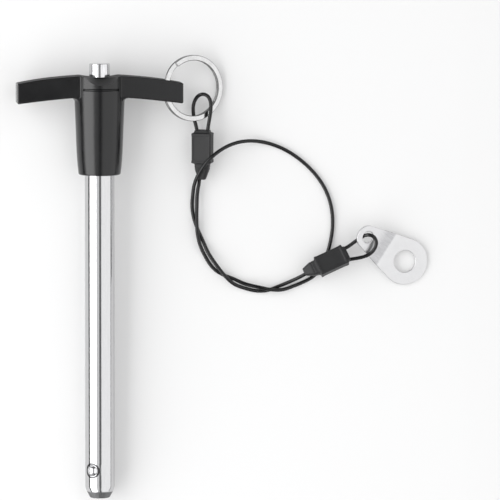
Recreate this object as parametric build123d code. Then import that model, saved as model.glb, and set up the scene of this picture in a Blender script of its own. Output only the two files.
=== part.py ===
from build123d import *
from math import sin, cos, tan, asin, acos, radians, degrees, pi
import os

# Ball lock pin: a hollow shank with a T handle, a sprung plunger that frees two
# lock balls, and a split ring with a coated wire lanyard that ends in a sheet
# steel anchor tab. All sizes in millimetres.
#
# The pin is first made upright in its own frame: Z along the axis with the
# button on top, X along the arms with the ring's arm at +X, and the front at -Y.
# Z = 0 is the lower end of the handle. It is then laid on its back on Z = 0 of
# the final frame, with the button towards +Y, the ring's arm at +X and the
# front upwards.

# ---- driving dimensions -------------------------------------------------
SHANK_R = 6.35            # 12.7 mm shank
BALL_Z = -127.0           # ball centres, 127 mm below the handle
TIP_Z = -139.2            # end of the shank
CHAMFER_Z = -136.2        # where the tip's bevel starts
TIP_R = 4.25              # end face
HEAD_R = 6.1              # turned-down head inside the handle, with two grooves
HEAD_Z = 24.0             # top of the shank, inside the handle
BORE_R = 2.86             # bore for the plunger rod
BORE_END_Z = -133.3
RELIEF_Z0, RELIEF_Z1 = -123.9, -123.3   # fine V-shaped line where the grip length ends
RELIEF_DEPTH = 0.02

BALL_R = 2.381            # 3/16 in ball
BALL_OUT = 5.211          # ball centre from the axis, locked
BALL_HOLE_R = 2.43
BALL_MOUTH_R = 2.25       # staked mouth that holds the ball in
BALL_TRAVEL = 1.292
PRESS = 3.8               # plunger travel

ROD_R = 2.80
NECK_R = 1.50
BUTTON_R = 4.40
BUTTON_TOP_Z = 47.6
FLANGE_R = 5.15
FLANGE_Z0, FLANGE_Z1 = 35.6, 37.55
CHAMBER_R = 5.45
CHAMBER_Z = 37.6
GUIDE_R = 4.48

SPRING_R = 4.25           # mean coil radius
SPRING_WIRE = 0.45        # wire radius
SPRING_TURNS = 5.5

HUB_R = 10.65
HANDLE_TOP = 42.45
ARM_X = 35.4              # arm length from the axis
ARM_DEPTH_ROOT = 6.3      # half depth at the hub
ARM_DEPTH_TIP = 5.75      # half depth at the tips
RING_HOLE_X = 28.7
RING_HOLE_R = 2.6

RING_OUT_R = 14.2
RING_IN_R = 11.85
RING_WIRE_T = 1.04        # one turn's thickness
RING_GAP = 0.06
RING_CENTRE = 12.67       # ring centre from the hole's axis
RING_CENTRE_Z = 36.5
RING_SLOPE = 21.5        # how far the ring hangs below the arm's plane, degrees
RING_CRANK = 150.0        # where the ring's two ends meet, degrees

CABLE_R = 0.8             # 1.6 mm coated wire rope

TAB_T = 1.0
TAB_BIG_R = 10.15
TAB_SMALL_R = 5.15
TAB_SPAN = 21.3           # between the two holes, along the sheet
TAB_BIG_HOLE_R = 4.85
TAB_SMALL_HOLE_R = 2.55
TAB_BEND_X = -9.2         # bend line from the big hole
TAB_BEND = 15.0           # degrees
TAB_TILT = 7.0            # slope of the big end as it lies
TAB_HEADING = -33.0       # from the small end to the big end, from +X
TAB_CABLE_HOLE = (116.12, -28.05)   # middle of the cable hole in the lying frame

# ---- resting pose -------------------------------------------------------
# The lying pin touches the floor with the barrel's widest ring, the shank's end
# and the lower ball, so its axis slopes by REST_PITCH and it doesn't roll.
BARREL_WIDEST_Z = 31.5
BARREL_CONTACT_Z, BARREL_CONTACT_R = 30.6, HUB_R - 0.012
SHANK_CONTACT_Z = -134.3
REST_PITCH = degrees(asin((BARREL_CONTACT_R - SHANK_R) / (BARREL_CONTACT_Z - SHANK_CONTACT_Z)))
AXIS_H = BARREL_CONTACT_R * cos(radians(REST_PITCH)) - BARREL_CONTACT_Z * sin(radians(REST_PITCH))
# the first ball lies this far left of the front, so that the other one, opposite
# to it, just reaches the floor
BALL_AZ = degrees(acos((AXIS_H + BALL_Z * sin(radians(REST_PITCH)) - BALL_R)
                       / (BALL_OUT * cos(radians(REST_PITCH)))))
print("rest pitch %.4f axis height %.4f ball azimuth %.3f" % (REST_PITCH, AXIS_H, BALL_AZ))
LAY = Location((0, 0, AXIS_H)) * Location((0, 0, 0), (-90 + REST_PITCH, 0, 0))


def lay(shape):
    return shape.moved(LAY)


def ring_cut(r0, r1, z0, z1):
    """A tube about the axis, from r0 to r1 and z0 to z1."""
    t = Pos(0, 0, (z0 + z1) / 2) * Cylinder(r1, z1 - z0)
    return t - Pos(0, 0, (z0 + z1) / 2) * Cylinder(r0, z1 - z0 + 1)


def turned(points):
    """A solid of revolution about Z from (r, z) points joined by straight lines."""
    with BuildSketch(Plane.XZ) as s:
        with BuildLine():
            Polyline([(r, z) for r, z in points], close=True)
        make_face()
    return revolve(s.sketch, Axis.Z)


nodes = {}

# ---- T handle: one moulding --------------------------------------------
barrel_pts = [(9.05, 0.85), (9.43, 4.2), (9.72, 8.0), (9.94, 12.0), (10.15, 18.0),
              (10.4, 24.5), (10.6, 29.5), (HUB_R, BARREL_WIDEST_Z)]
with BuildSketch(Plane.XZ) as s:
    with BuildLine():
        Line((0, 0), (8.3, 0))
        b = ThreePointArc((8.3, 0), (8.83, 0.25), barrel_pts[0])
        Spline(*barrel_pts, tangents=((0.12, 1), (0, 1)))
        Line((HUB_R, BARREL_WIDEST_Z), (HUB_R, HANDLE_TOP + 1))
        Line((HUB_R, HANDLE_TOP + 1), (0, HANDLE_TOP + 1))
        Line((0, HANDLE_TOP + 1), (0, 0))
    make_face()
hub = revolve(s.sketch, Axis.Z)

# one arm, as its side view and its plan in common, with all its rims rounded
TIP_LOW = 30.5
TIP_TOP = 39.2
with BuildSketch(Plane.XZ.offset(-8)) as s:
    with BuildLine():
        Spline((0, 33.4), (10.6, 33.1), (23.0, 32.0), (ARM_X, TIP_LOW), tangents=((1, 0), (1, -0.13)))
        Line((ARM_X, TIP_LOW), (ARM_X, TIP_TOP))
        Spline((ARM_X, TIP_TOP), (26.0, 40.85), (16.5, 41.9), (0, HANDLE_TOP + 0.25), tangents=((-1, 0.19), (-1, 0)))
        Line((0, HANDLE_TOP + 0.25), (0, 33.4))
    make_face()
side = extrude(s.sketch, amount=16)
with BuildSketch(Plane.XY) as s:
    with BuildLine():
        Polyline([(0, -ARM_DEPTH_ROOT), (ARM_X + 2, -ARM_DEPTH_TIP), (ARM_X + 2, ARM_DEPTH_TIP),
                  (0, ARM_DEPTH_ROOT)], close=True)
    make_face()
plan = extrude(s.sketch, amount=60)
arm = side & plan
arm = fillet([e for e in arm.edges() if e.center().X > 0.5], 0.6)
handle = hub + arm + arm.mirror(Plane.YZ)
handle -= Pos(0, 0, HANDLE_TOP + 5) * Box(90, 60, 10)
corner = [e for e in handle.edges() if 6 < abs(e.center().X) < 12 and 3.5 < abs(e.center().Y) < 8
          and 33 < e.center().Z < 42.2]
handle = fillet(corner, 0.5)
# hollow rounding where the hub meets the underside of the arms
with BuildSketch(Plane.XZ) as s:
    with BuildLine():
        Line((9.0, 31.0), (10.62, 31.0))
        ThreePointArc((10.62, 31.0), (11.17, 32.33), (12.5, 32.88))
        Polyline([(12.5, 32.88), (12.5, 34.5), (9.0, 34.5), (9.0, 31.0)])
    make_face()
handle += revolve(s.sketch, Axis.Z) & Box(60, 10.4, 200)

# dish across the top, and a thumb scoop in front of and behind the button
DISH_R, DISH_LOW = 50.0, 41.7
handle -= Pos(0, 0, DISH_LOW + DISH_R) * Rot(90, 0, 0) * Cylinder(DISH_R, 40)
SCOOP_R, SCOOP_TILT = 16.0, 26.0
scoop = Pos(0, 0, SCOOP_R) * Rot(90, 0, 0) * Pos(0, 0, 10) * Cylinder(SCOOP_R, 20)
scoop = Pos(0, -4.75, 41.45) * Rot(SCOOP_TILT, 0, 0) * scoop
handle -= scoop
handle -= scoop.mirror(Plane.XZ)

# parting groove across the front and back of the hub
GROOVE_Z = 36.65
groove = turned([(HUB_R - 0.4, GROOVE_Z - 0.12), (HUB_R - 0.4, GROOVE_Z + 0.12), (HUB_R + 0.2, GROOVE_Z + 0.72),
                 (HUB_R + 0.2, GROOVE_Z - 0.72)])
handle -= groove & Box(15.2, 40, 200)

# ring hole in the right arm, with broken edges
handle -= Pos(RING_HOLE_X, 0, 35) * Cylinder(RING_HOLE_R, 20)
hole_edges = [e for e in handle.edges() if abs(e.bounding_box().center().X - RING_HOLE_X) < 0.5
              and abs(e.bounding_box().size.Y - 2 * RING_HOLE_R) < 0.3]
handle = fillet(hole_edges, 0.35)

# inside: seat of the shank, spring chamber and button guide
handle -= Pos(0, 0, (HEAD_Z + CHAMBER_Z) / 2) * Cylinder(CHAMBER_R, CHAMBER_Z - HEAD_Z)
handle -= Pos(0, 0, 42) * Cylinder(GUIDE_R, 12)

# ---- shank --------------------------------------------------------------
with BuildSketch(Plane.XZ) as s:
    with BuildLine():
        Polyline([(0, TIP_Z), (TIP_R - 0.3, TIP_Z)])
        ThreePointArc((TIP_R - 0.3, TIP_Z), (TIP_R - 0.03, TIP_Z + 0.1), (TIP_R + 0.12, TIP_Z + 0.32))
        Line((TIP_R + 0.12, TIP_Z + 0.32), (5.8, CHAMFER_Z))
        Spline((5.8, CHAMFER_Z), (6.22, CHAMFER_Z + 1.2), (SHANK_R, CHAMFER_Z + 2.0),
               tangents=((0.35, 1), (0, 1)))
        Polyline([(SHANK_R, CHAMFER_Z + 2.0),
                  (SHANK_R, RELIEF_Z0), (SHANK_R - RELIEF_DEPTH, (RELIEF_Z0 + RELIEF_Z1) / 2),
                  (SHANK_R, RELIEF_Z1), (SHANK_R, 0), (HEAD_R, 0), (HEAD_R, 8.0), (HEAD_R - 0.6, 8.6), (HEAD_R - 0.6, 11.0),
                  (HEAD_R, 11.6), (HEAD_R, 15.0), (HEAD_R - 0.6, 15.6), (HEAD_R - 0.6, 18.0), (HEAD_R, 18.6),
                  (HEAD_R, HEAD_Z - 0.6), (HEAD_R - 0.6, HEAD_Z), (0, HEAD_Z)])
        Line((0, HEAD_Z), (0, TIP_Z))
    make_face()
shank = revolve(s.sketch, Axis.Z)
# the handle is moulded on the shank's head and fills its two grooves
handle -= shank
shank -= Pos(0, 0, (HEAD_Z + BORE_END_Z) / 2 + 0.5) * Cylinder(BORE_R, HEAD_Z - BORE_END_Z + 1)
front = Plane(origin=(0, 0, BALL_Z), x_dir=(0, 0, 1),
              z_dir=(-sin(radians(BALL_AZ)), -cos(radians(BALL_AZ)), 0))
ball_hole = turned([(0, 0), (BALL_HOLE_R, 0), (BALL_HOLE_R, 5.7), (BALL_MOUTH_R, 6.05), (BALL_MOUTH_R, 6.12),
                    (2.55, 6.42), (2.55, 8), (0, 8)])
# the ring mark that the staking tool leaves around each mouth
stake = ring_cut(2.85, 3.25, 0, 8)
skin = Pos(0, 0, BALL_Z) * (Cylinder(8, 12) - Cylinder(SHANK_R - 0.18, 13))
for sign in (1, -1):
    at = front.location if sign == 1 else Plane(origin=(0, 0, BALL_Z), x_dir=(0, 0, 1),
                                                z_dir=(sin(radians(BALL_AZ)), cos(radians(BALL_AZ)), 0)).location
    shank -= ball_hole.moved(at)
    shank -= stake.moved(at) & skin
nodes["shank"] = shank
nodes["t_handle"] = handle

# ---- plunger: rod with its cam neck, and the button ----------------------
B = BALL_Z
rod = turned([(0, B - 1.9), (2.3, B - 1.9), (ROD_R, B - 1.4), (ROD_R, B - 0.39), (NECK_R, B + 3.43),
              (NECK_R, B + 5.0), (ROD_R, B + 6.3), (ROD_R, 44.0), (2.5, 44.3), (0, 44.3)])
nodes["plunger_rod"] = rod
with BuildSketch(Plane.XZ) as s:
    with BuildLine():
        Polyline([(ROD_R, FLANGE_Z0), (FLANGE_R - 0.25, FLANGE_Z0), (FLANGE_R, FLANGE_Z0 + 0.25),
                  (FLANGE_R, FLANGE_Z1), (BUTTON_R, FLANGE_Z1), (BUTTON_R, BUTTON_TOP_Z - 0.55)])
        ThreePointArc((BUTTON_R, BUTTON_TOP_Z - 0.55), (BUTTON_R - 0.15, BUTTON_TOP_Z - 0.16), (BUTTON_R - 0.5, BUTTON_TOP_Z))
        Polyline([(BUTTON_R - 0.5, BUTTON_TOP_Z), (0, BUTTON_TOP_Z), (0, 44.3), (2.5, 44.3), (ROD_R, 44.0), (ROD_R, FLANGE_Z0)])
    make_face()
nodes["button"] = revolve(s.sketch, Axis.Z)

# ---- return spring: closed ends, open coils between the shank and the button ----
z0, z1 = HEAD_Z + SPRING_WIRE + 0.02, FLANGE_Z0 - SPRING_WIRE - 0.02
pitch = (z1 - z0) / SPRING_TURNS
helix = Pos(0, 0, z0) * Helix(pitch=pitch, height=z1 - z0, radius=SPRING_R)
start = helix.position_at(0)
section = Plane(origin=start, z_dir=helix.tangent_at(0)) * Circle(SPRING_WIRE)
nodes["return_spring"] = sweep(section, path=helix, is_frenet=True)

# ---- lock balls -----------------------------------------------------------
bx, by = -sin(radians(BALL_AZ)), -cos(radians(BALL_AZ))
nodes["lock_ball_upper"] = Pos(BALL_OUT * bx, BALL_OUT * by, BALL_Z) * Sphere(BALL_R)
nodes["lock_ball_lower"] = Pos(-BALL_OUT * bx, -BALL_OUT * by, BALL_Z) * Sphere(BALL_R)

# ---- split ring: flat wire in two turns, cranked where its ends meet --------
mean_r = (RING_OUT_R + RING_IN_R) / 2
width = RING_OUT_R - RING_IN_R
level = (RING_WIRE_T + RING_GAP) / 2


def wire_section(angle, z):
    """The ring wire's section at an angle, at a height z."""
    a = radians(angle)
    p = Plane(origin=(mean_r * cos(a), mean_r * sin(a), z), x_dir=(cos(a), sin(a), 0), z_dir=(-sin(a), cos(a), 0))
    return p * RectangleRounded(width, RING_WIRE_T, 0.3)


CR = 18.0   # half of the crank, degrees
END = 23.0  # the free ends stop this far from its middle
turn_a = revolve(wire_section(RING_CRANK + END, -level), Axis.Z, 360 - END - CR)
turn_b = revolve(wire_section(RING_CRANK + CR, level), Axis.Z, 360 - END - CR)
steps = 8
crank = []
for i in range(steps + 1):
    t = i / steps
    z = -level + 2 * level * (3 * t * t - 2 * t ** 3)
    crank.append(wire_section(RING_CRANK - CR + 2 * CR * t, z))
crank = loft(crank)
ring = turn_a + turn_b + crank
slope = radians(RING_SLOPE)
u = Vector(cos(slope), sin(slope), 0)
ring_plane = Plane(origin=(RING_HOLE_X + RING_CENTRE * u.X, RING_CENTRE * u.Y, RING_CENTRE_Z),
                   x_dir=u, z_dir=(sin(slope), -cos(slope), 0))
nodes["split_ring"] = ring.moved(ring_plane.location)

for k in list(nodes):
    nodes[k] = lay(nodes[k])

# ---- lanyard, in the lying frame -------------------------------------------
# Route of the coated wire rope: from its dead end in the upper sleeve, around
# the split ring, back through the sleeve, once and a half round its loose loop,
# through the lower sleeve, through the tab's small hole and back.
ROUTE = [
    (46.07, 5.62, 4.70), (46.53, 12.95, 5.30), (47.08, 19.42, 5.70), (47.73, 23.29, 5.90), (48.31, 26.95, 6.00),
    (48.40, 30.59, 5.90), (47.23, 33.16, 5.55), (44.88, 34.18, 4.90), (42.45, 32.88, 4.10), (41.04, 29.69, 3.40),
    (40.97, 26.24, 2.95), (41.53, 22.80, 2.95), (42.61, 18.94, 3.45), (43.21, 11.63, 4.00), (43.71, 3.85, 3.40),
    (43.86, -3.08, 2.75), (42.75, -8.19, 2.65), (42.59, -13.85, 2.70), (42.44, -19.86, 2.80), (42.60, -25.47, 2.80),
    (43.81, -31.03, 2.20), (46.34, -36.34, 1.00), (49.53, -41.29, 0.80), (53.64, -44.13, 0.80), (58.60, -45.94, 0.80),
    (63.48, -48.32, 1.30), (69.04, -49.50, 2.75), (74.69, -50.82, 2.80), (79.88, -51.01, 2.40), (84.60, -49.43, 1.10),
    (89.28, -47.67, 0.80), (93.92, -45.16, 0.80), (97.41, -40.86, 0.80), (99.59, -35.46, 0.80), (101.12, -29.62, 0.80),
    (101.94, -23.56, 0.80), (101.72, -17.49, 0.80), (100.41, -11.64, 0.80), (97.79, -5.77, 0.80), (93.52, -0.03, 0.80),
    (88.03, 5.15, 0.80), (81.93, 9.30, 0.80), (75.62, 12.02, 0.90), (69.68, 13.43, 1.50), (64.05, 13.72, 3.20),
    (58.56, 12.88, 5.60), (53.52, 10.89, 8.00), (49.01, 7.91, 9.60), (45.39, 4.23, 9.20), (42.82, -0.19, 6.60),
    (41.25, -4.94, 3.60), (40.89, -9.85, 1.30), (40.64, -14.58, 0.80), (41.36, -19.55, 0.80), (43.09, -24.53, 0.80),
    (45.40, -29.53, 0.90), (47.50, -34.70, 2.30), (50.69, -39.47, 2.80), (54.45, -44.41, 2.80), (58.32, -48.18, 2.20),
    (63.26, -50.11, 1.00), (68.11, -51.36, 0.80), (72.99, -51.44, 0.80), (77.98, -49.58, 0.90), (83.04, -47.36, 2.20),
    (87.59, -45.10, 4.00), (91.58, -42.63, 5.10), (96.08, -40.83, 5.60), (102.53, -38.68, 6.20), (108.79, -37.59, 6.70),
    (113.35, -36.94, 7.05), (116.92, -35.67, 7.35), (119.21, -33.32, 7.65), (120.07, -30.35, 8.15), (118.92, -27.87, 8.70),
    (116.82, -26.94, 8.60), (115.04, -27.20, 7.60), (113.55, -28.13, 6.50), (110.87, -30.05, 5.80), (107.71, -32.48, 5.30),
    (102.67, -34.86, 5.20), (97.91, -37.34, 5.00),
]
route = [Vector(*p) for p in ROUTE]
radii = []
for a, b, c in zip(route, route[1:], route[2:]):
    turn = (b - a).get_angle(c - b)
    radii.append(0.45 * min((b - a).length, (c - b).length) / tan(radians(turn) / 2))
print("cable bend radii:", " ".join("%.1f" % r for r in radii))
cable_path = FilletPolyline(*route, radius=radii)
cable_length = cable_path.length
cable = sweep(Plane(origin=route[0], z_dir=route[1] - route[0]) * Circle(CABLE_R), path=cable_path)
print("cable length %.1f mm, volume %.1f, section x length %.1f" % (cable_length, cable.volume, pi * CABLE_R ** 2 * cable_length))
nodes["lanyard_cable"] = cable

# crimp sleeves: a pressed oval ferrule inside a moulded black cover with a flat
# collar at the loop and a tapered tail round the single cable
BLOCK_W, BLOCK_L, BLOCK_T = 8.6, 13.0, 6.3


def sleeve_pair():
    ferrule = Box(6.4, 10.0, 3.4)
    ferrule = fillet(ferrule.edges().filter_by(Axis.Y), 1.6)
    body = Box(BLOCK_W, BLOCK_L, BLOCK_T)
    body = fillet(body.edges().filter_by(Axis.Y), 0.55)
    collar = Pos(0, BLOCK_L / 2 + 0.6, 0) * Box(6.6, 1.4, 3.6)
    collar = fillet(collar.edges().filter_by(Axis.Y), 1.0)
    root = Plane(origin=(-0.1, -BLOCK_L / 2 + 0.3, 0), x_dir=(1, 0, 0), z_dir=(0, -1, 0)) * RectangleRounded(6.4, 4.6, 1.2)
    mid = Plane(origin=(-0.15, -BLOCK_L / 2 - 2.4, -0.1), x_dir=(1, 0, 0), z_dir=(0, -1, 0)) * RectangleRounded(5.6, 4.0, 1.2)
    end = Plane(origin=(-0.3, -BLOCK_L / 2 - 6.7, -0.45), x_dir=(1, 0, 0), z_dir=(0, -1, 0)) * RectangleRounded(2.9, 2.5, 1.0)
    tail = loft([root, mid, end])
    return ferrule, body + collar + tail - ferrule


UPPER = Plane(origin=(44.80, 10.85, 5.0), x_dir=(0.9405, -0.0210, 0.3393), z_dir=(-0.3391, -0.0719, 0.9380))
LOWER = Plane(origin=(100.55, -38.35, 5.95), x_dir=(0.3880, -0.8690, 0.3075), z_dir=(-0.1450, 0.2750, 0.9505))
for name, at in (("upper", UPPER), ("lower", LOWER)):
    ferrule, cover = sleeve_pair()
    nodes["crimp_ferrule_" + name] = ferrule.moved(at.location) - cable
    nodes["sleeve_cover_" + name] = cover.moved(at.location) - cable

# anchor tab: sheet steel with a fixing hole and a cable hole, bent between them.
# The far rim of its big end lies on the floor, and the cable holds up the small end.
bend = radians(TAB_BEND)
far = TAB_SPAN + TAB_BEND_X + 9
foot = (TAB_BEND_X, 0)
heel = (TAB_BEND_X - far * cos(bend), far * sin(bend))
with BuildSketch(Plane.XZ.offset(-15)) as s:
    with BuildLine():
        Polyline([(12, 0), foot, heel, (heel[0] + TAB_T * sin(bend), heel[1] + TAB_T * cos(bend)),
                  (TAB_BEND_X + TAB_T * tan(bend / 2), TAB_T), (12, TAB_T)], close=True)
    make_face()
    kinks = s.vertices().sort_by(lambda v: abs(v.X - TAB_BEND_X))[:2]
    fillet([k for k in kinks if k.Z < 0.5], 3.0)
    fillet(s.vertices().sort_by(lambda v: abs(v.X - TAB_BEND_X - TAB_T * tan(bend / 2)) + abs(v.Z - TAB_T))[0], 2.0)
bent_sheet = extrude(s.sketch, amount=30)
outline = make_hull((Pos(-TAB_SPAN, 0) * Circle(TAB_SMALL_R)).edges() + Circle(TAB_BIG_R).edges())
flat = extrude(outline - Circle(TAB_BIG_HOLE_R) - Pos(-TAB_SPAN, 0) * Circle(TAB_SMALL_HOLE_R), 5, both=True)
split = Pos(TAB_BEND_X, 0, 0) * Rot(0, TAB_BEND / 2, 0) * Pos(50, 0, 0) * Box(100, 60, 60)
upturn = Pos(TAB_BEND_X, 0, 0) * Rot(0, TAB_BEND, 0) * Pos(-TAB_BEND_X, 0, 0)
tab = (bent_sheet & flat & split) + ((bent_sheet & (upturn * flat)) - split)
tab_pose = Rot(0, 0, TAB_HEADING) * Rot(0, TAB_TILT, 0)
hole_at = (tab_pose * upturn * Pos(-TAB_SPAN, 0, TAB_T / 2)).position
tab = tab_pose * tab
set_down = Pos(TAB_CABLE_HOLE[0] - hole_at.X, TAB_CABLE_HOLE[1] - hole_at.Y, -tab.bounding_box().min.Z)
tab = set_down * tab
nodes["anchor_tab"] = tab
cable_hole = (set_down * tab_pose * upturn * Pos(-TAB_SPAN, 0, TAB_T / 2)).position
fixing_hole = (set_down * tab_pose * Pos(0, 0, TAB_T / 2)).position

# ---- final frame: floor at Z = 0, middle of the pin and ring at X = Y = 0 -----
cord_nodes = ("lanyard_cable", "crimp_ferrule_upper", "sleeve_cover_upper", "crimp_ferrule_lower",
              "sleeve_cover_lower", "anchor_tab")
boxes = [nodes[k].bounding_box() for k in nodes if k not in cord_nodes]
low = [min(getattr(b.min, a) for b in boxes) for a in "XYZ"]
high = [max(getattr(b.max, a) for b in boxes) for a in "XYZ"]
for k in nodes:
    print("%-22s lowest %.4f" % (k, nodes[k].bounding_box().min.Z))
shift = Vector(round(-(low[0] + high[0]) / 2, 2), round(-(low[1] + high[1]) / 2, 2), 0)
print("pin and ring box", low, high, "shift", shift)
print("tab holes: cable", cable_hole + shift, "fixing", fixing_hole + shift)
print("shank middle", (LAY * Pos(0, 0, RELIEF_Z1 / 2)).position + shift)
print("ring hole", (LAY * Pos(RING_HOLE_X, 0, RING_CENTRE_Z)).position + shift)
print("balls", (LAY * Pos(BALL_OUT * bx, BALL_OUT * by, BALL_Z)).position + shift,
      (LAY * Pos(-BALL_OUT * bx, -BALL_OUT * by, BALL_Z)).position + shift)

os.makedirs("parts", exist_ok=True)
for name, shape in nodes.items():
    shape = shape.moved(Location(shift))
    shape.label = name
    b = shape.bounding_box()
    print("%-22s z %.3f to %.3f  volume %.1f" % (name, b.min.Z, b.max.Z, shape.volume))
    export_step(shape, "parts/%s.step" % name)
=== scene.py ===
import math

import bpy
import bmesh
import numpy as np
from mathutils import Matrix, Vector
from mathutils.geometry import delaunay_2d_cdt


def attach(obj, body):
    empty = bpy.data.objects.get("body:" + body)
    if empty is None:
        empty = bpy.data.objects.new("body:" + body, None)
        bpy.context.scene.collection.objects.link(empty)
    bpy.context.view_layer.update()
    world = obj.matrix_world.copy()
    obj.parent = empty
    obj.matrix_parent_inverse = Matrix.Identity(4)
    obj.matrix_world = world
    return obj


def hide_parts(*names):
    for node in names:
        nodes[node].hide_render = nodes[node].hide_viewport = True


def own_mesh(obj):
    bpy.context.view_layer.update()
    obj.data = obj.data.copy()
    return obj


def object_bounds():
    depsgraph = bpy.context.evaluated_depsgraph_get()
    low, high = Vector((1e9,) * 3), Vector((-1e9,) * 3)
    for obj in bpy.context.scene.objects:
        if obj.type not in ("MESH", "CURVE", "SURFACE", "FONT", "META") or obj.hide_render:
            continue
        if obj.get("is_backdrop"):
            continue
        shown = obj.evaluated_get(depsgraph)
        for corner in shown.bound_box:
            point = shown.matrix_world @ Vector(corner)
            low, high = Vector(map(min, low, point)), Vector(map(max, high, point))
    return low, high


# The looks of a ball lock pin with its split ring, coated lanyard and anchor tab.
# Lengths are in metres in the frame's own axes; local sketches are in millimetres
# and are scaled as they are placed.

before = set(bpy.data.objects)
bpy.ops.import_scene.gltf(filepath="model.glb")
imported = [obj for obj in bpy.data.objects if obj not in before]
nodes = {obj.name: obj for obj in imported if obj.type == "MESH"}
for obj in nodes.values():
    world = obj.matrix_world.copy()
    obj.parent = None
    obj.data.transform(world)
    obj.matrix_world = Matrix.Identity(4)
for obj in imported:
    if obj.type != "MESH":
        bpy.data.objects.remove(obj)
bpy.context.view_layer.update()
MM = 0.001

# ---- camera ----------------------------------------------------------------
target = Vector((56.0, 10.92, 5.0)) * MM
back = Vector((-math.tan(math.radians(7.05)), math.tan(math.radians(4.2)), 1)).normalized()
right = Vector((0, 1, 0)).cross(back).normalized()
up = back.cross(right)
roll = math.radians(-0.05)
right, up = math.cos(roll) * right + math.sin(roll) * up, -math.sin(roll) * right + math.cos(roll) * up
camera = bpy.data.objects.new("camera", bpy.data.cameras.new("camera"))
bpy.context.scene.collection.objects.link(camera)
camera.matrix_world = Matrix.Translation(target + back * 1.9) @ Matrix((right, up, back)).transposed().to_4x4()
camera.data.lens = 317.7
camera.data.sensor_width = 36
camera.data.clip_start = 0.05
camera.data.clip_end = 40
bpy.context.scene.camera = camera

# ---- the lanyard's route, point by point ------------------------------------
SHIFT = (-9.30, 44.22, 0.0)
ROUTE = [
    (46.07, 5.62, 4.70), (46.53, 12.95, 5.30), (47.08, 19.42, 5.70), (47.73, 23.29, 5.90), (48.31, 26.95, 6.00),
    (48.40, 30.59, 5.90), (47.23, 33.16, 5.55), (44.88, 34.18, 4.90), (42.45, 32.88, 4.10), (41.04, 29.69, 3.40),
    (40.97, 26.24, 2.95), (41.53, 22.80, 2.95), (42.61, 18.94, 3.45), (43.21, 11.63, 4.00), (43.71, 3.85, 3.40),
    (43.86, -3.08, 2.75), (42.75, -8.19, 2.65), (42.59, -13.85, 2.70), (42.44, -19.86, 2.80), (42.60, -25.47, 2.80),
    (43.81, -31.03, 2.20), (46.34, -36.34, 1.00), (49.53, -41.29, 0.80), (53.64, -44.13, 0.80), (58.60, -45.94, 0.80),
    (63.48, -48.32, 1.30), (69.04, -49.50, 2.75), (74.69, -50.82, 2.80), (79.88, -51.01, 2.40), (84.60, -49.43, 1.10),
    (89.28, -47.67, 0.80), (93.92, -45.16, 0.80), (97.41, -40.86, 0.80), (99.59, -35.46, 0.80), (101.12, -29.62, 0.80),
    (101.94, -23.56, 0.80), (101.72, -17.49, 0.80), (100.41, -11.64, 0.80), (97.79, -5.77, 0.80), (93.52, -0.03, 0.80),
    (88.03, 5.15, 0.80), (81.93, 9.30, 0.80), (75.62, 12.02, 0.90), (69.68, 13.43, 1.50), (64.05, 13.72, 3.20),
    (58.56, 12.88, 5.60), (53.52, 10.89, 8.00), (49.01, 7.91, 9.60), (45.39, 4.23, 9.20), (42.82, -0.19, 6.60),
    (41.25, -4.94, 3.60), (40.89, -9.85, 1.30), (40.64, -14.58, 0.80), (41.36, -19.55, 0.80), (43.09, -24.53, 0.80),
    (45.40, -29.53, 0.90), (47.50, -34.70, 2.30), (50.69, -39.47, 2.80), (54.45, -44.41, 2.80), (58.32, -48.18, 2.20),
    (63.26, -50.11, 1.00), (68.11, -51.36, 0.80), (72.99, -51.44, 0.80), (77.98, -49.58, 0.90), (83.04, -47.36, 2.20),
    (87.59, -45.10, 4.00), (91.58, -42.63, 5.10), (96.08, -40.83, 5.60), (102.53, -38.68, 6.20), (108.79, -37.59, 6.70),
    (113.35, -36.94, 7.05), (116.92, -35.67, 7.35), (119.21, -33.32, 7.65), (120.07, -30.35, 8.15), (118.92, -27.87, 8.70),
    (116.82, -26.94, 8.60), (115.04, -27.20, 7.60), (113.55, -28.13, 6.50), (110.87, -30.05, 5.80), (107.71, -32.48, 5.30),
    (102.67, -34.86, 5.20), (97.91, -37.34, 5.00),
]
CABLE_R = 0.8


def link(obj):
    bpy.context.scene.collection.objects.link(obj)
    return obj


def new_mesh(name, verts, faces, smooth=True, sharp=None):
    me = bpy.data.meshes.new(name)
    me.from_pydata([tuple(v) for v in verts], [], faces)
    me.validate()
    bm = bmesh.new()
    bm.from_mesh(me)
    bmesh.ops.recalc_face_normals(bm, faces=bm.faces)
    bm.to_mesh(me)
    bm.free()
    if smooth:
        me.polygons.foreach_set("use_smooth", [True] * len(me.polygons))
    if sharp is not None:
        me.set_sharp_from_angle(angle=math.radians(sharp))
    me.update()
    return link(bpy.data.objects.new(name, me))


def nurbs_points(points, resolution):
    """The line that a smooth curve draws with these control points."""
    cu = bpy.data.curves.new("route", "CURVE")
    cu.dimensions = "3D"
    sp = cu.splines.new("NURBS")
    sp.points.add(len(points) - 1)
    for q, p in zip(sp.points, points):
        q.co = (*p, 1.0)
    sp.order_u = 3
    sp.use_endpoint_u = True
    sp.resolution_u = resolution
    ob = link(bpy.data.objects.new("route", cu))
    bpy.context.view_layer.update()
    me = bpy.data.meshes.new_from_object(ob.evaluated_get(bpy.context.evaluated_depsgraph_get()))
    line = [v.co.copy() for v in me.vertices]
    bpy.data.meshes.remove(me)
    bpy.data.objects.remove(ob)
    bpy.data.curves.remove(cu)
    return line


control = [(Vector(p) + Vector(SHIFT)) * MM for p in ROUTE]
line = nurbs_points(control, 13)
steps = [(b - a).length for a, b in zip(line, line[1:])]
cable_length = sum(steps)

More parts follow.
